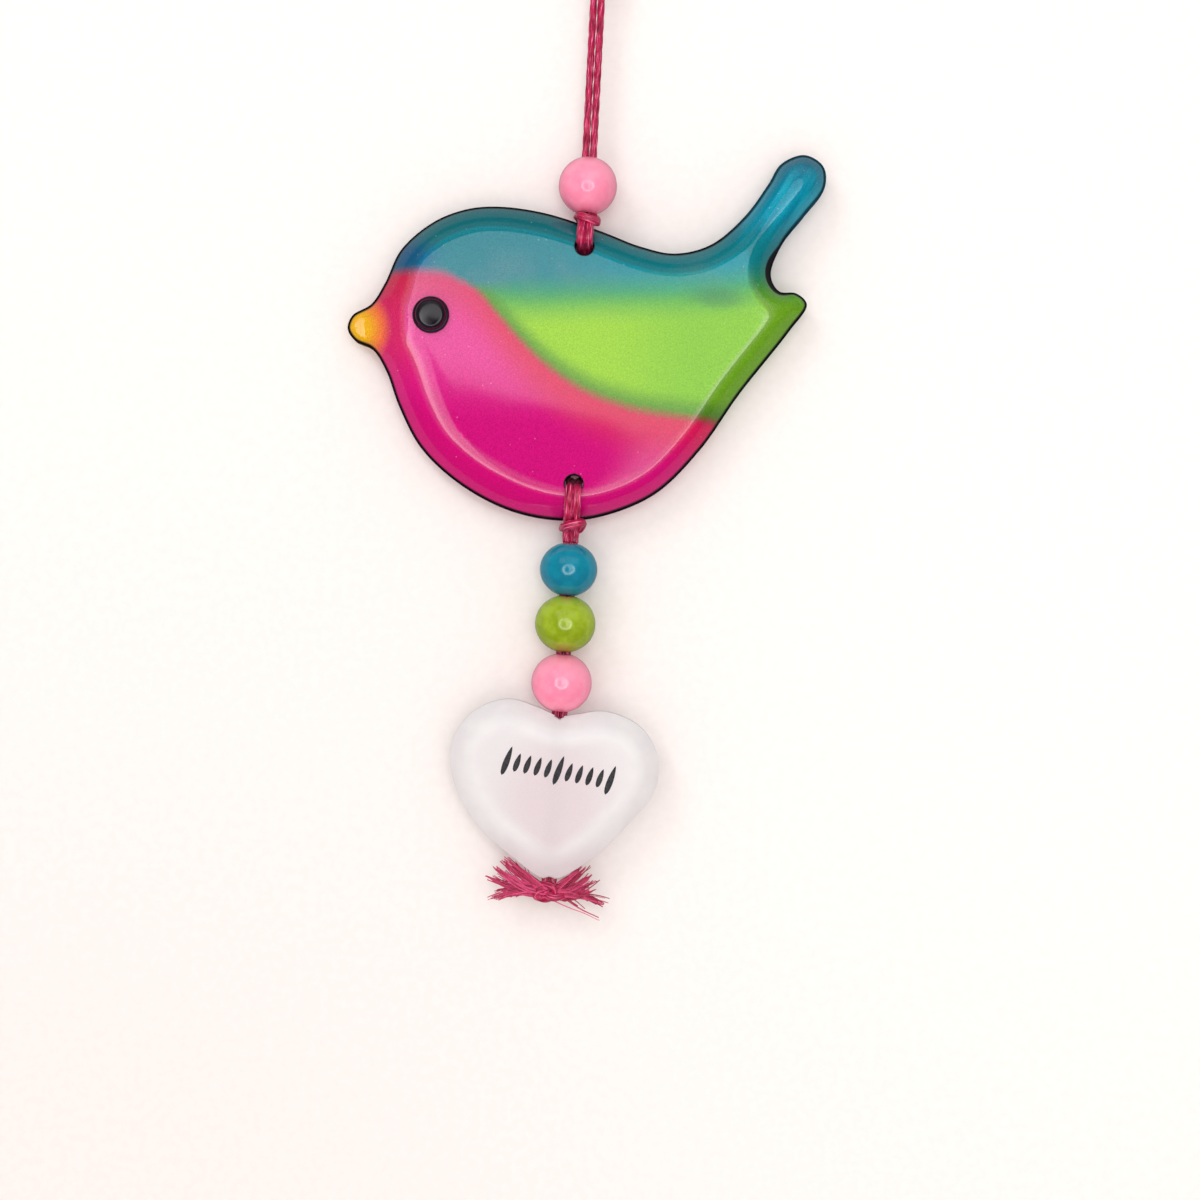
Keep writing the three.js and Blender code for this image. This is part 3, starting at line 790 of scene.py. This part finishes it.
class Nodes:
    """The node tree of a new material or world, with short forms for the nodes it uses."""

    def __init__(self, name, kind=bpy.data.materials):
        self.made = kind.new(name)
        self.made.use_nodes = True
        self.tree = self.made.node_tree
        self.shader = self.tree.nodes.get("Principled BSDF")

    def add(self, kind, inputs=(), **settings):
        node = self.tree.nodes.new("ShaderNode" + kind)
        for key, value in settings.items():
            setattr(node, key, value)
        for key, value in dict(inputs).items():
            self.feed(node.inputs[key], value)
        return node

    def out(self, kind, inputs=(), **settings):
        """The first output of a new node."""
        return self.add(kind, inputs, **settings).outputs[0]

    def feed(self, socket, value):
        """Links a socket or sets its value. Three numbers are a colour as display values."""
        if isinstance(value, bpy.types.NodeSocket):
            self.tree.links.new(value, socket)
            return
        is_colour = isinstance(value, tuple) and len(value) == 3
        socket.default_value = srgb(*value) if is_colour else value

    def set(self, **values):
        """Values on the shader's own sockets, named with _ for each space."""
        for key, value in values.items():
            self.feed(self.shader.inputs[key.replace("_", " ")], value)

    def place(self):
        """Place in the piece's own frame, in millimetres."""
        here = self.add("TexCoord").outputs["Object"]
        return self.out("VectorMath", {0: here, "Scale": 1 / MM}, operation="SCALE")

    def stored(self, name):
        """A value that the mesh holds for each of its points."""
        return self.add("Attribute", attribute_name=name).outputs["Fac"]

    def split(self, vector):
        return self.add("SeparateXYZ", {0: vector}).outputs

    def math(self, operation, a, b=0.0):
        return self.out("Math", {0: a, 1: b}, operation=operation)

    def minus(self, a, b):
        return self.math("SUBTRACT", a, b)

    def times(self, a, b):
        return self.math("MULTIPLY", a, b)

    def ramp(self, value, low, high, end=1.0, start=0.0):
        """A soft step from start at low to end at high."""
        return self.out("MapRange", {
            "Value": value, "From Min": low, "From Max": high, "To Min": start, "To Max": end,
        }, interpolation_type="SMOOTHSTEP")

    def mix(self, factor, a, b, blend="MIX"):
        node = self.add("Mix", {0: factor, 6: a, 7: b}, data_type="RGBA", blend_type=blend)
        return node.outputs[2]

    def noise(self, vector, size, detail=2.0, roughness=0.5):
        """Noise from 0 to 1 with features of about that size, in the vector's own units."""
        return self.add("TexNoise", {
            "Vector": vector, "Scale": 1 / size, "Detail": detail, "Roughness": roughness,
        }).outputs["Fac"]

    def curve(self, value, points):
        """A smooth curve through points given as (value, result)."""
        xs, ys = zip(*points)
        low, high = min(ys), max(ys)
        scaled = self.out("MapRange", {"Value": value, "From Min": xs[0], "From Max": xs[-1]})
        node = self.add("FloatCurve", {"Value": scaled})
        line = node.mapping.curves[0]
        spots = [((x - xs[0]) / (xs[-1] - xs[0]), (y - low) / (high - low)) for x, y in points]
        while len(line.points) < len(spots):
            line.points.new(0.5, 0.5)
        for point, spot in zip(line.points, spots):
            point.location = spot
            point.handle_type = "AUTO_CLAMPED"
        node.mapping.update()
        return self.out("MapRange", {"Value": node.outputs[0], "To Min": low, "To Max": high})

    def bump(self, height, strength, distance):
        self.set(Normal=self.out("Bump", {"Height": height, "Strength": strength, "Distance": distance}))

    def show(self, shader):
        """Puts a shader other than the principled one on the surface."""
        self.feed(self.tree.nodes["Material Output"].inputs["Surface"], shader)

    def spot(self, x, z, middle, radii):
        """How far a place is from a middle, as a share of an ellipse's radii."""
        offsets = [self.minus(*pair) for pair in zip((x, z), middle)]
        u, v = (self.math("DIVIDE", *pair) for pair in zip(offsets, radii))
        return self.math("SQRT", self.math("ADD", self.times(u, u), self.times(v, v)))


def bird_material():
    n = Nodes("bird_glass")
    place = n.place()
    x, y, z = n.split(place)
    wander = n.times(n.minus(n.noise(place, 0.7, 4.0, 0.7), 0.5), 1.6)
    z_soft = n.math("ADD", z, wander)
    over_teal = n.minus(z_soft, n.curve(x, TEAL_EDGE))
    under_wing = n.minus(n.curve(x, PINK_EDGE), z_soft)

    teal = n.mix(n.ramp(x, -14, 24), (24, 138, 152), (8, 156, 172))
    blue = n.ramp(n.spot(x, z, (-31.0, 37.0), (7.5, 4.6)), 1.1, 0.2, 0.75)
    teal = n.mix(blue, teal, (30, 104, 172))
    # Pale grey patches over the lower teal, where the face is flat: a painted reflection veil.
    painted_veil = n.times(n.ramp(n.noise(place, 9.0, 3.0), 0.42, 0.66, 0.4), n.ramp(over_teal, 9, 2))
    teal = n.mix(painted_veil, teal, (104, 150, 156))
    along_tail = n.out("CombineXYZ", {
        0: n.math("ADD", n.times(x, 0.85), n.times(z, -0.52)),
        1: n.times(n.math("ADD", n.times(x, 0.52), n.times(z, 0.85)), 0.12),
    })
    streak = n.noise(along_tail, 1.3)
    tail = n.mix(n.ramp(streak, 0.3, 0.7), (4, 140, 168), (22, 172, 198))
    up_tail = n.times(n.ramp(x, 18, 24), z)
    teal = n.mix(n.ramp(up_tail, 40, 47), teal, tail)
    teal = n.mix(n.ramp(z, 51, 58), teal, (52, 116, 140))

    lime = n.mix(n.ramp(x, 2, 20), (164, 222, 40), (142, 211, 46))
    lime = n.mix(n.ramp(over_teal, 0.0, -7.0), (66, 176, 88), lime)
    lime = n.mix(n.ramp(under_wing, -4.5, -0.7, 0.85), lime, (92, 158, 46))

    # Deeper magenta low on the belly and lighter pink above it: painted, standing in for the bright
    # reflection over the upper face.
    pink = n.mix(n.ramp(z, 9, 22), (226, 24, 134), (242, 64, 160))
    pink = n.mix(n.ramp(z, 25, 34), pink, (228, 62, 124))
    coral = n.times(n.ramp(under_wing, 10, 0.6, 0.9), n.ramp(x, -27, -13, 1.0, 0.15))
    pink = n.mix(coral, pink, (232, 54, 92))

    wing_softness = n.ramp(x, -19, -8, 3.4, 1.2)
    teal_share = n.ramp(n.math("DIVIDE", over_teal, wing_softness), -1, 1)
    pink_share = n.ramp(under_wing, -1.0, 1.0)
    colour = n.mix(pink_share, lime, pink)
    seam = n.ramp(n.math("ABSOLUTE", under_wing), 1.4, 0.1, 0.35)
    colour = n.mix(seam, colour, (150, 96, 74))
    colour = n.mix(teal_share, colour, teal)
    shade = n.ramp(n.spot(x, z_soft, (22.6, 32.6), (6.5, 2.6)), 1.0, 0.2, 0.45)
    colour = n.mix(shade, colour, (44, 122, 92))

    rim = n.stored("rim")
    slope = n.stored("slope")
    below_teal = n.minus(1.0, teal_share)
    in_pink = n.times(pink_share, below_teal)
    # Painted shade on the sloping shoulder band: the colour is multiplied darker there by the colours named
    # depth and deep, most of all low on the pink, and less in the tail.
    pink_band_shade = n.mix(n.ramp(z, 12, 24), (255, 140, 242), (242, 190, 180))
    depth = n.mix(in_pink, (210, 212, 208), pink_band_shade)
    deep = n.mix(1.0, colour, depth, "MULTIPLY")
    in_tail = n.ramp(up_tail, 40, 50)
    shaded_band = n.times(n.ramp(slope, 5.7, 4.8), n.ramp(in_tail, 0.0, 1.0, 0.15, 1.0))
    colour = n.mix(shaded_band, colour, deep)
    # A faint painted highlight along the crest where the shoulder meets the flat face, below the teal.
    crest_highlight = n.times(n.ramp(slope, 3.8, 4.9), n.ramp(slope, 6.4, 5.4))
    crest_highlight = n.times(n.times(crest_highlight, below_teal), 0.07)
    colour = n.mix(crest_highlight, colour, (255, 236, 226))

    from_beak = n.spot(x, z_soft, (-39.6, 24.5), (6.6, 6.2))
    beak = n.mix(n.ramp(from_beak, 0.45, 0.95), (255, 192, 36), (255, 124, 72))
    colour = n.mix(n.ramp(from_beak, 1.2, 0.82), colour, beak)

    speckle = n.noise(place, 0.22, 3.0, 0.7)
    grey = n.mix(n.ramp(speckle, 0.3, 0.7), (214, 214, 214), (255, 255, 255))
    colour = n.mix(1.0, colour, grey, "MULTIPLY")

    specks = n.add("TexVoronoi", {"Vector": place, "Scale": 0.75})
    speck_tone = n.split(specks.outputs["Color"])[0]
    near_speck = n.ramp(specks.outputs["Distance"], 0.11, 0.05)
    pale = n.times(near_speck, n.ramp(speck_tone, 0.55, 1.0, 0.22))
    dark = n.times(near_speck, n.ramp(speck_tone, 0.45, 0.0, 0.3))
    colour = n.mix(pale, colour, (255, 250, 236))
    colour = n.mix(dark, colour, (30, 40, 36))

    # Painted shade at the edge: a near-black line round the face, wider in the notch below the tail and
    # teal-dark on the tail, with the side wall a darker copy of the face colour.
    notch = n.ramp(n.spot(x, z, (32.5, 37.8), (4.2, 5.0)), 1.0, 0.3, 0.8)
    edge = n.ramp(n.minus(rim, notch), 0.3, 0.7)
    edge_shade_colour = n.mix(in_tail, (10, 12, 18), (14, 58, 74))
    shaded_wall_colour = n.mix(1.0, colour, (128, 122, 126), "MULTIPLY")
    edge_shade_colour = n.mix(n.ramp(y, 0.8, 1.3), edge_shade_colour, shaded_wall_colour)
    colour = n.mix(edge, edge_shade_colour, colour)
    gloss = n.times(edge, n.ramp(in_tail, 0.0, 1.0, 0.3, 0.5))
    # Painted shade in the holes: their walls and the face right round them are dark.
    for hole_x, hole_z in (UPPER_HOLE, LOWER_HOLE):
        off_hole = n.ramp(n.spot(x, z, (hole_x / MM, hole_z / MM), (HOLE_RADIUS / MM,) * 2), 1.02, 1.16)
        colour = n.mix(off_hole, (34, 14, 26), colour)
        gloss = n.times(gloss, off_hole)
    n.set(Base_Color=colour, Roughness=0.04, IOR=1.5, Transmission_Weight=0.25, Specular_IOR_Level=gloss)
    return n.made


def bead_material(name, light, deep, half, cord_share):
    """Milky glass, a little cloudy, with the cord faint next to its bore. half is in millimetres."""
    n = Nodes(name)
    place = n.place()
    x, _, z = n.split(place)
    cloud = n.noise(place, 2.4, 4.0, 0.55)
    grain = n.noise(place, 0.4)
    # The tone rises towards the top, so each bead is painted lighter above: painted light from above.
    tone = n.math("ADD", cloud, n.times(z, 0.035))
    colour = n.mix(n.ramp(tone, 0.25, 0.75), deep, light)
    colour = n.mix(n.ramp(grain, 0.45, 0.85, 0.16), colour, deep)
    near_end = n.ramp(n.math("ABSOLUTE", z), 0.62 * half, 0.98 * half, cord_share)
    near_cord = n.ramp(n.math("ABSOLUTE", x), 1.3, 0.5)
    colour = n.mix(n.times(near_end, near_cord), colour, (206, 60, 96))
    n.set(Base_Color=colour, Roughness=0.14, IOR=1.5, Transmission_Weight=0.1, Specular_IOR_Level=0.8)
    return n.made


def eye_material():
    n = Nodes("black_glass")
    smear = n.noise(n.place(), 1.2, 3.0)
    n.set(Base_Color=n.mix(n.ramp(smear, 0.3, 0.7), (14, 9, 17), (27, 20, 31)))
    n.set(Roughness=n.ramp(smear, 0.2, 0.8, 0.2, 0.12), IOR=1.5)
    return n.made


def heart_material():
    n = Nodes("frosted_glass")
    place = n.place()
    x, _, z = n.split(place)
    rim = n.stored("rim")
    cloud = n.noise(place, 3.5, 3.0)
    frost = n.noise(place, 0.16, 2.0, 0.6)
    white = n.mix(n.ramp(cloud, 0.3, 0.7), (243, 238, 239), (249, 245, 245))
    in_face = n.ramp(n.spot(x, z, (0, -54), (12, 15)), 1.1, 0.3)
    face = n.mix(in_face, (240, 234, 235), (234, 218, 221))
    colour = n.mix(n.ramp(rim, 3.6, 6.0), white, face)
    lit_edge = n.times(n.ramp(rim, 1.8, 3.0), n.ramp(rim, 4.6, 3.6))
    colour = n.mix(n.times(lit_edge, 0.4), colour, (252, 250, 250))
    colour = n.mix(n.ramp(z, -58, -66, 0.5), colour, (234, 206, 214))
    colour = n.mix(n.ramp(frost, 0.45, 0.75, 0.2), colour, (255, 255, 255))
    n.set(Base_Color=colour, Roughness=0.42, IOR=1.5, Transmission_Weight=0.35)
    n.bump(frost, 0.12, 0.1 * MM)
    return n.made


def ink_material():
    n = Nodes("ink")
    blot = n.noise(n.place(), 0.5, 3.0)
    n.set(Base_Color=n.mix(n.ramp(blot, 0.3, 0.7), (20, 18, 22), (44, 40, 46)), Roughness=0.55)
    return n.made


def cord_material():
    """Satin threads that run along the strand, with painted highlights on their crowns and painted shade
    between them.
    """
    n = Nodes("satin_cord")
    along, around, _ = n.split(n.add("TexCoord").outputs["UV"])
    threads = n.out("CombineXYZ", {0: n.times(along, 0.35), 1: n.times(around, 26.0)})
    streak = n.noise(threads, 1.0, 3.0, 0.6)
    broad = n.noise(n.out("CombineXYZ", {0: along, 1: n.times(around, 4.0)}), 2.6)
    # The darkest thread colour is painted shade between the threads, the bright one a painted satin
    # highlight.
    colour = n.mix(n.ramp(streak, 0.34, 0.54), (78, 0, 30), (176, 6, 66))
    colour = n.mix(n.ramp(streak, 0.54, 0.66, 0.95), colour, (253, 124, 170))
    colour = n.mix(n.ramp(broad, 0.5, 0.75, 0.5), colour, (112, 0, 44))
    n.set(Base_Color=colour, Roughness=n.ramp(streak, 0.2, 0.8, 0.2, 0.34), IOR=1.5, Specular_IOR_Level=0.6)
    n.set(Anisotropic=0.4, Sheen_Weight=0.25, Sheen_Roughness=0.3, Sheen_Tint=(255, 150, 190))
    n.bump(streak, 0.35, 0.12 * MM)
    return n.made


def fibre_material():
    n = Nodes("frayed_fibre")
    tone = n.stored("tone")
    near = n.noise(n.place(), 1.1)
    colour = n.mix(tone, (154, 8, 54), (226, 72, 128))
    colour = n.mix(n.ramp(near, 0.4, 0.7, 0.4), colour, (150, 8, 58))
    n.set(Base_Color=colour, Roughness=0.42, Sheen_Weight=0.2, Sheen_Roughness=0.4)
    return n.made


CORD = cord_material()
for cord_piece, *cord_nodes in (
        (hanging_loop, "hanging_cord"), (loop_knot,), (upper_hitch,),
        (lower_hitch, "drop_cord"), (drop_strands,), (end_knot,)):
    finish_piece(cord_piece, CORD, "satin_cord", *cord_nodes)
finish_piece(tassel, fibre_material(), "satin_cord")

finish_piece(make_bird(), bird_material(), "bird_glass", "bird")
finish_piece(make_eye(), eye_material(), "black_glass", "eye")
finish_piece(make_heart(), heart_material(), "frosted_glass", "heart")
finish_piece(make_strokes(), ink_material(), "black_glass")

PINK_GLASS = bead_material("pink_glass", (250, 154, 180), (246, 134, 166), 5.0, 0.35)
TEAL_GLASS = bead_material("teal_glass", (0, 136, 160), (0, 116, 142), 4.6, 0.05)
LIME_GLASS = bead_material("lime_glass", (162, 186, 48), (132, 154, 6), 4.9, 0.35)
for name, size, height, carrier, glass, slot, node in (
        ("bead_top", TOP_BEAD_SIZE, TOP_BEAD, HANGING_FRAME, PINK_GLASS, "pink_glass", "top_bead"),
        ("bead_pink", PINK_BEAD_SIZE, PINK_BEAD, DROP_FRAME, PINK_GLASS, "pink_glass", "pink_bead"),
        ("bead_teal", TEAL_BEAD_SIZE, TEAL_BEAD, DROP_FRAME, TEAL_GLASS, "teal_glass", "teal_bead"),
        ("bead_lime", LIME_BEAD_SIZE, LIME_BEAD, DROP_FRAME, LIME_GLASS, "lime_glass", "lime_bead")):
    finish_piece(make_bead(name, size, height, carrier), glass, slot, node)


# Stage: a pale board close behind the object, a pale floor and soft light

WORLD_BELOW = 0.62
WORLD_ABOVE = 0.86
WORLD_IN_GLOSS = 0.1
WORLD_SEEN = 0.92
WORLD_TINT = (1.0, 0.985, 0.975, 1.0)

BOARD_GAP = 5.6 * MM
BOARD_HALF = 0.3
BOARD_GLOW = 0.95
BOARD_IN_GLOSS = 0.5
BOARD_MIDDLE = (0, -0.1)
BOARD_COLOUR = (229, 222, 219)
FLOOR_COLOUR = (246, 240, 238)
FLOOR_HEIGHT = -0.3
FLOOR_HALF = 1.5
# The fades are millimetres from the middle of their plane, FLAG_TOP a height and a slope
RING_RADII = (0.115, 0.15, 0.182, 0.192)
RING_TOP_FADE = (140, 60)
RING_GLOW = 2.4
RING_DISTANCE = VIEW_DISTANCE + 0.045
FLAG_DISTANCE = VIEW_DISTANCE + 0.004
FLAG_HALF = 0.09
FLAG_TOP = (59.2, -0.224)
FLAG_TOP_FADE = 3.0
FLAG_LEFT_FADE = (-80, -74)
FLAG_RIGHT_FADE = (30, -4)
FLAG_BOTTOM_FADE = (-74, -66)


def stage_plane(name, half, matrix, material):
    """A square stage piece. What glows on it shows in reflections and lights nothing else."""
    corners = [(-half, 0, -half), (half, 0, -half), (half, 0, half), (-half, 0, half)]
    plane = add_object(name, corners, [(0, 1, 2, 3)], matrix, False)
    plane.data.materials.append(material)
    material.cycles.emission_sampling = "NONE"
    return plane


def pale_material(name, colour, glows, one_sided):
    """A pale stage surface that glows for some rays.

    A one-sided one shows from the front alone and lets light and shadow through.
    """
    n = Nodes(name)
    grain = n.noise(n.place(), 1.5)
    n.set(Base_Color=n.mix(n.ramp(grain, 0.3, 0.7, 0.1), colour, (255, 250, 248)))
    n.set(Roughness=0.9, Specular_IOR_Level=0.0)
    path = n.add("LightPath").outputs
    shown = n.shader.outputs[0]
    for ray, strength in glows.items():
        glow = n.out("Emission", {"Color": colour, "Strength": strength})
        shown = n.out("MixShader", {0: path[ray], 1: shown, 2: glow})
    if one_sided:
        through = n.math("MAXIMUM", path["Is Shadow Ray"], path["Is Diffuse Ray"])
        through = n.math("MAXIMUM", through, n.add("NewGeometry").outputs["Backfacing"])
        shown = n.out("MixShader", {0: through, 1: shown, 2: n.out("BsdfTransparent")})
    n.show(shown)
    return n.made


def dark_material():
    """A dark flag that fades out to its sides, for the darker lower part of the face."""
    n = Nodes("dark_flag")
    n.set(Base_Color=(20, 20, 22), Roughness=0.9)
    across, _, up = n.split(n.place())
    top = n.math("ADD", FLAG_TOP[0], n.times(across, FLAG_TOP[1]))
    solid = n.ramp(across, *FLAG_RIGHT_FADE)
    solid = n.times(solid, n.ramp(across, *FLAG_LEFT_FADE))
    solid = n.times(solid, n.ramp(up, *FLAG_BOTTOM_FADE))
    solid = n.times(solid, n.ramp(n.minus(top, up), -FLAG_TOP_FADE, FLAG_TOP_FADE))
    n.show(n.out("MixShader", {0: solid, 1: n.out("BsdfTransparent"), 2: n.shader.outputs[0]}))
    return n.made


def ring_material():
    """The brighter outer part of the soft light: it fades in and out between the ring's radii."""
    n = Nodes("ring_glow")
    u, _, v = n.split(n.place())
    reach = n.spot(u, v, (0, 0), (1, 1))
    low, start, end, high = (radius / MM for radius in RING_RADII)
    glow = n.times(n.ramp(reach, low, start), n.ramp(reach, high, end))
    glow = n.times(glow, n.ramp(v, *RING_TOP_FADE))
    light = n.out("Emission", {"Strength": n.times(glow, RING_GLOW)})
    n.show(n.out("AddShader", {0: light, 1: n.out("BsdfTransparent")}))
    return n.made


def make_stage():
    x, z = BOARD_MIDDLE
    board_glows = {"Is Transmission Ray": BOARD_GLOW, "Is Glossy Ray": BOARD_IN_GLOSS}
    board_paint = pale_material("board", BOARD_COLOUR, board_glows, True)
    stage_plane("board", BOARD_HALF, Matrix.Translation((x, BOARD_GAP, z)), board_paint)
    floor_place = Matrix.Translation((0, 0, FLOOR_HEIGHT)) @ Matrix.Rotation(-math.pi / 2, 4, "X")
    floor_paint = pale_material("floor", FLOOR_COLOUR, {"Is Glossy Ray": WORLD_IN_GLOSS}, False)
    stage_plane("floor", FLOOR_HALF, floor_place, floor_paint)
    x, z = VIEW_MIDDLE
    ring_place = Matrix.Translation((x, -RING_DISTANCE, z))
    ring = stage_plane("ring", RING_RADII[-1], ring_place, ring_material())
    ring.visible_camera = False
    ring.visible_diffuse = False
    ring.visible_shadow = False
    flag_place = Matrix.Translation((x, -FLAG_DISTANCE, z))
    flag = stage_plane("flag", FLAG_HALF, flag_place, dark_material())
    flag.visible_camera = False


# Each light: its name, its place and aim from the middle of the view, its size, its power,
# and the rays that don't see it. A size of one number is a disc.
LIGHTS = [
    ("softbox", (0, -VIEW_DISTANCE - 0.05, 0), (0, 0, 0), (0.38,), 0.58, ()),
    ("key", (-0.34, -0.5, 0.4), (0, 0, 0), (0.3,), 1.0, ("glossy",)),
    ("fill", (0, -0.6, 0.05), (0, 0, 0), (0.24,), 1.05, ("glossy",)),
    ("low", (-0.1, -0.3, -0.36), (0, 0, 0.05), (0.5, 0.06), 0.55, ("glossy",)),
    ("overhead", (0, -0.36, 0.36), (0, 0, 0), (0.7, 0.3), 0.24, ("diffuse",)),
]


def area_light(name, place, aim, size, power, unseen_by):
    data = bpy.data.lights.new(name, "AREA")
    data.shape = "DISK" if len(size) == 1 else "RECTANGLE"
    data.size = size[0]
    data.size_y = size[-1]
    data.energy = power
    place = Vector(place)
    turn = (Vector(aim) - place).to_track_quat("-Z", "Y").to_matrix().to_4x4()
    middle = Vector((VIEW_MIDDLE[0], 0, VIEW_MIDDLE[1]))
    light = new_object(name, data, Matrix.Translation(middle + place) @ turn)
    for rays in ("camera", *unseen_by):
        setattr(light, "visible_" + rays, False)


def make_world():
    """Light from all round, with a strength of its own for reflections and for what the camera sees."""
    n = Nodes("studio", bpy.data.worlds)
    bpy.context.scene.world = n.made
    n.made.cycles.sampling_method = "NONE"
    height = n.split(n.add("TexCoord").outputs["Generated"])[2]
    strength = n.out("MapRange", {
        "Value": height, "From Min": -1, "To Min": WORLD_BELOW, "To Max": WORLD_ABOVE})
    path = n.add("LightPath").outputs
    for ray, value in (("Is Glossy Ray", WORLD_IN_GLOSS), ("Is Camera Ray", WORLD_SEEN)):
        strength = n.out("Mix", {0: path[ray], 2: strength, 3: value})
    background = n.tree.nodes["Background"].inputs
    n.feed(background["Strength"], strength)
    n.feed(background["Color"], WORLD_TINT)


make_stage()
for light_row in LIGHTS:
    area_light(*light_row)
make_world()

scene = bpy.context.scene
scene.view_settings.view_transform = "Standard"
scene.view_settings.look = "None"
